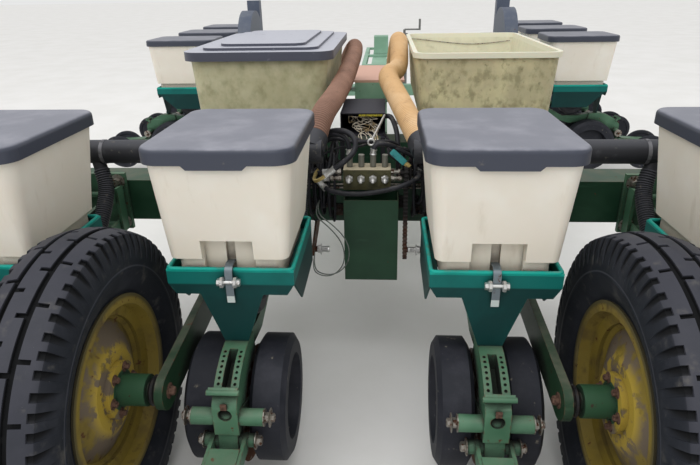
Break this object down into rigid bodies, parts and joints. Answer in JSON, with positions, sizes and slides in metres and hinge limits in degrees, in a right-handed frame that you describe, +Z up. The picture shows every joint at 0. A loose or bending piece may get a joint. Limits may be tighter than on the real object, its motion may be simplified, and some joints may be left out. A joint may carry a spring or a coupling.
{
  "type": "row crop planter",
  "caption": "Drawn row crop planter with front-folding wings, seed hoppers over opener units, vacuum meters, liquid tanks, transport wheels and a tongue on its jack.",
  "frame": {"origin": "middle of the plan, on the ground", "axes": "+Z up, +Y forward along the tongue, +X to the right"},
  "size_m": [4.7436, 6.7812, 1.445],
  "materials": {
    "frame_green": "weathered paint",
    "tongue_green": "faded paint",
    "shank_green": "faded paint",
    "teal_sheet": "faded paint",
    "cream_plastic": "chalky",
    "lid_plastic": "weathered",
    "tank_plastic": "stained",
    "black_plastic": "weathered",
    "bare_steel": "worn, with rust",
    "grey_steel": "worn paint",
    "fan_grey": "worn paint",
    "olive_metal": "worn plating",
    "rim_yellow": "faded paint with rust",
    "tyre": "dusty",
    "wheel_rubber": "dusty",
    "duct_brown": "sun-bleached",
    "hose_rubber": "dusty"
  },
  "bodies": {
    "frame": {"air_ducts": "duct_brown", "centre_frame": "frame_green", "closing_wheels_centre": "wheel_rubber", "drive_shaft": "bare_steel", "hopper_lids_centre": "lid_plastic", "hopper_supports_centre": "teal_sheet", "hydraulic_hoses": "hose_rubber", "opener_discs_centre": "bare_steel", "rear_bar": "frame_green", "row_frames_centre": "shank_green", "seed_hoppers_centre": "cream_plastic", "seed_meters_centre": "black_plastic", "tank_left": "tank_plastic", "tank_right": "tank_plastic", "tongue": "tongue_green", "vacuum_pipe_left": "black_plastic", "vacuum_pipe_right": "black_plastic", "valve_block": "olive_metal", "wheel_arms": "frame_green", "wiring_box": "black_plastic"},
    "jack": {"jack": "grey_steel"},
    "tank_lid": {"tank_lid": "black_plastic"},
    "wing_left": {"closing_wheels_left": "wheel_rubber", "hopper_lids_left": "lid_plastic", "hopper_supports_left": "teal_sheet", "opener_discs_left": "bare_steel", "row_frames_left": "shank_green", "seed_hoppers_left": "cream_plastic", "seed_meters_left": "black_plastic", "vacuum_fan_left": "fan_grey", "wing_bar_left": "frame_green"},
    "wing_right": {"closing_wheels_right": "wheel_rubber", "hopper_lids_right": "lid_plastic", "hopper_supports_right": "teal_sheet", "opener_discs_right": "bare_steel", "row_frames_right": "shank_green", "seed_hoppers_right": "cream_plastic", "seed_meters_right": "black_plastic", "vacuum_fan_right": "fan_grey", "wing_bar_right": "frame_green"},
    "wheel_left_1": {"tyre_left_1": "tyre", "rim_left_1": "rim_yellow"},
    "wheel_left_2": {"tyre_left_2": "tyre", "rim_left_2": "rim_yellow"},
    "gauge_wheels_wing_left_1": {"gauge_wheels_wing_left_1": "wheel_rubber"},
    "gauge_wheels_wing_left_2": {"gauge_wheels_wing_left_2": "wheel_rubber"},
    "gauge_wheels_wing_left_3": {"gauge_wheels_wing_left_3": "wheel_rubber"},
    "wheel_right_1": {"tyre_right_1": "tyre", "rim_right_1": "rim_yellow"},
    "wheel_right_2": {"tyre_right_2": "tyre", "rim_right_2": "rim_yellow"},
    "gauge_wheels_wing_right_1": {"gauge_wheels_wing_right_1": "wheel_rubber"},
    "gauge_wheels_wing_right_2": {"gauge_wheels_wing_right_2": "wheel_rubber"},
    "gauge_wheels_wing_right_3": {"gauge_wheels_wing_right_3": "wheel_rubber"},
    "gauge_wheels_1": {"gauge_wheels_1": "wheel_rubber"},
    "gauge_wheels_2": {"gauge_wheels_2": "wheel_rubber"},
    "gauge_wheels_3": {"gauge_wheels_3": "wheel_rubber"},
    "gauge_wheels_4": {"gauge_wheels_4": "wheel_rubber"},
    "gauge_wheels_5": {"gauge_wheels_5": "wheel_rubber"},
    "gauge_wheels_6": {"gauge_wheels_6": "wheel_rubber"}
  },
  "joints": [
    {"name": "wing_left_fold", "type": "hinge", "parent": "frame", "child": "wing_left", "pos_m": [-0.87, -1.23425, 0.7], "axis": [0, 0, 1], "range_deg": [0, 90]},
    {"name": "wheel_left_1_roll", "type": "hinge", "parent": "frame", "child": "wheel_left_1", "pos_m": [-0.762, -2.91825, 0.4725], "axis": [1, 0, 0], "continuous": true},
    {"name": "wheel_left_2_roll", "type": "hinge", "parent": "frame", "child": "wheel_left_2", "pos_m": [-1.524, -2.91825, 0.4725], "axis": [1, 0, 0], "continuous": true},
    {"name": "gauge_wheels_wing_left_1_roll", "type": "hinge", "parent": "wing_left", "child": "gauge_wheels_wing_left_1", "pos_m": [-1.72, 0.56275, 0.3], "axis": [0, 1, 0], "continuous": true},
    {"name": "gauge_wheels_wing_left_2_roll", "type": "hinge", "parent": "wing_left", "child": "gauge_wheels_wing_left_2", "pos_m": [-1.72, 1.32475, 0.3], "axis": [0, 1, 0], "continuous": true},
    {"name": "gauge_wheels_wing_left_3_roll", "type": "hinge", "parent": "wing_left", "child": "gauge_wheels_wing_left_3", "pos_m": [-1.72, 2.08675, 0.3], "axis": [0, 1, 0], "continuous": true},
    {"name": "wing_right_fold", "type": "hinge", "parent": "frame", "child": "wing_right", "pos_m": [0.87, -1.23425, 0.7], "axis": [0, 0, 1], "range_deg": [-90, 0]},
    {"name": "wheel_right_1_roll", "type": "hinge", "parent": "frame", "child": "wheel_right_1", "pos_m": [0.762, -2.91825, 0.4725], "axis": [1, 0, 0], "continuous": true},
    {"name": "wheel_right_2_roll", "type": "hinge", "parent": "frame", "child": "wheel_right_2", "pos_m": [1.524, -2.91825, 0.4725], "axis": [1, 0, 0], "continuous": true},
    {"name": "gauge_wheels_wing_right_1_roll", "type": "hinge", "parent": "wing_right", "child": "gauge_wheels_wing_right_1", "pos_m": [1.72, 0.56275, 0.3], "axis": [0, 1, 0], "continuous": true},
    {"name": "gauge_wheels_wing_right_2_roll", "type": "hinge", "parent": "wing_right", "child": "gauge_wheels_wing_right_2", "pos_m": [1.72, 1.32475, 0.3], "axis": [0, 1, 0], "continuous": true},
    {"name": "gauge_wheels_wing_right_3_roll", "type": "hinge", "parent": "wing_right", "child": "gauge_wheels_wing_right_3", "pos_m": [1.72, 2.08675, 0.3], "axis": [0, 1, 0], "continuous": true},
    {"name": "gauge_wheels_1_roll", "type": "hinge", "parent": "frame", "child": "gauge_wheels_1", "pos_m": [-1.905, -2.71425, 0.3], "axis": [1, 0, 0], "continuous": true},
    {"name": "gauge_wheels_2_roll", "type": "hinge", "parent": "frame", "child": "gauge_wheels_2", "pos_m": [-1.143, -2.71425, 0.3], "axis": [1, 0, 0], "continuous": true},
    {"name": "gauge_wheels_3_roll", "type": "hinge", "parent": "frame", "child": "gauge_wheels_3", "pos_m": [-0.381, -2.71425, 0.3], "axis": [1, 0, 0], "continuous": true},
    {"name": "gauge_wheels_4_roll", "type": "hinge", "parent": "frame", "child": "gauge_wheels_4", "pos_m": [0.381, -2.71425, 0.3], "axis": [1, 0, 0], "continuous": true},
    {"name": "gauge_wheels_5_roll", "type": "hinge", "parent": "frame", "child": "gauge_wheels_5", "pos_m": [1.143, -2.71425, 0.3], "axis": [1, 0, 0], "continuous": true},
    {"name": "gauge_wheels_6_roll", "type": "hinge", "parent": "frame", "child": "gauge_wheels_6", "pos_m": [1.905, -2.71425, 0.3], "axis": [1, 0, 0], "continuous": true},
    {"name": "jack_swing", "type": "hinge", "parent": "frame", "child": "jack", "pos_m": [0.275, 2.61575, 0.7], "axis": [1, 0, 0], "range_deg": [-90, 0]},
    {"name": "tank_lid_hinge", "type": "hinge", "parent": "frame", "child": "tank_lid", "pos_m": [-0.883, -0.96925, 1.2243], "axis": [0, 1, 0], "range_deg": [-100, 0]}
  ]
}
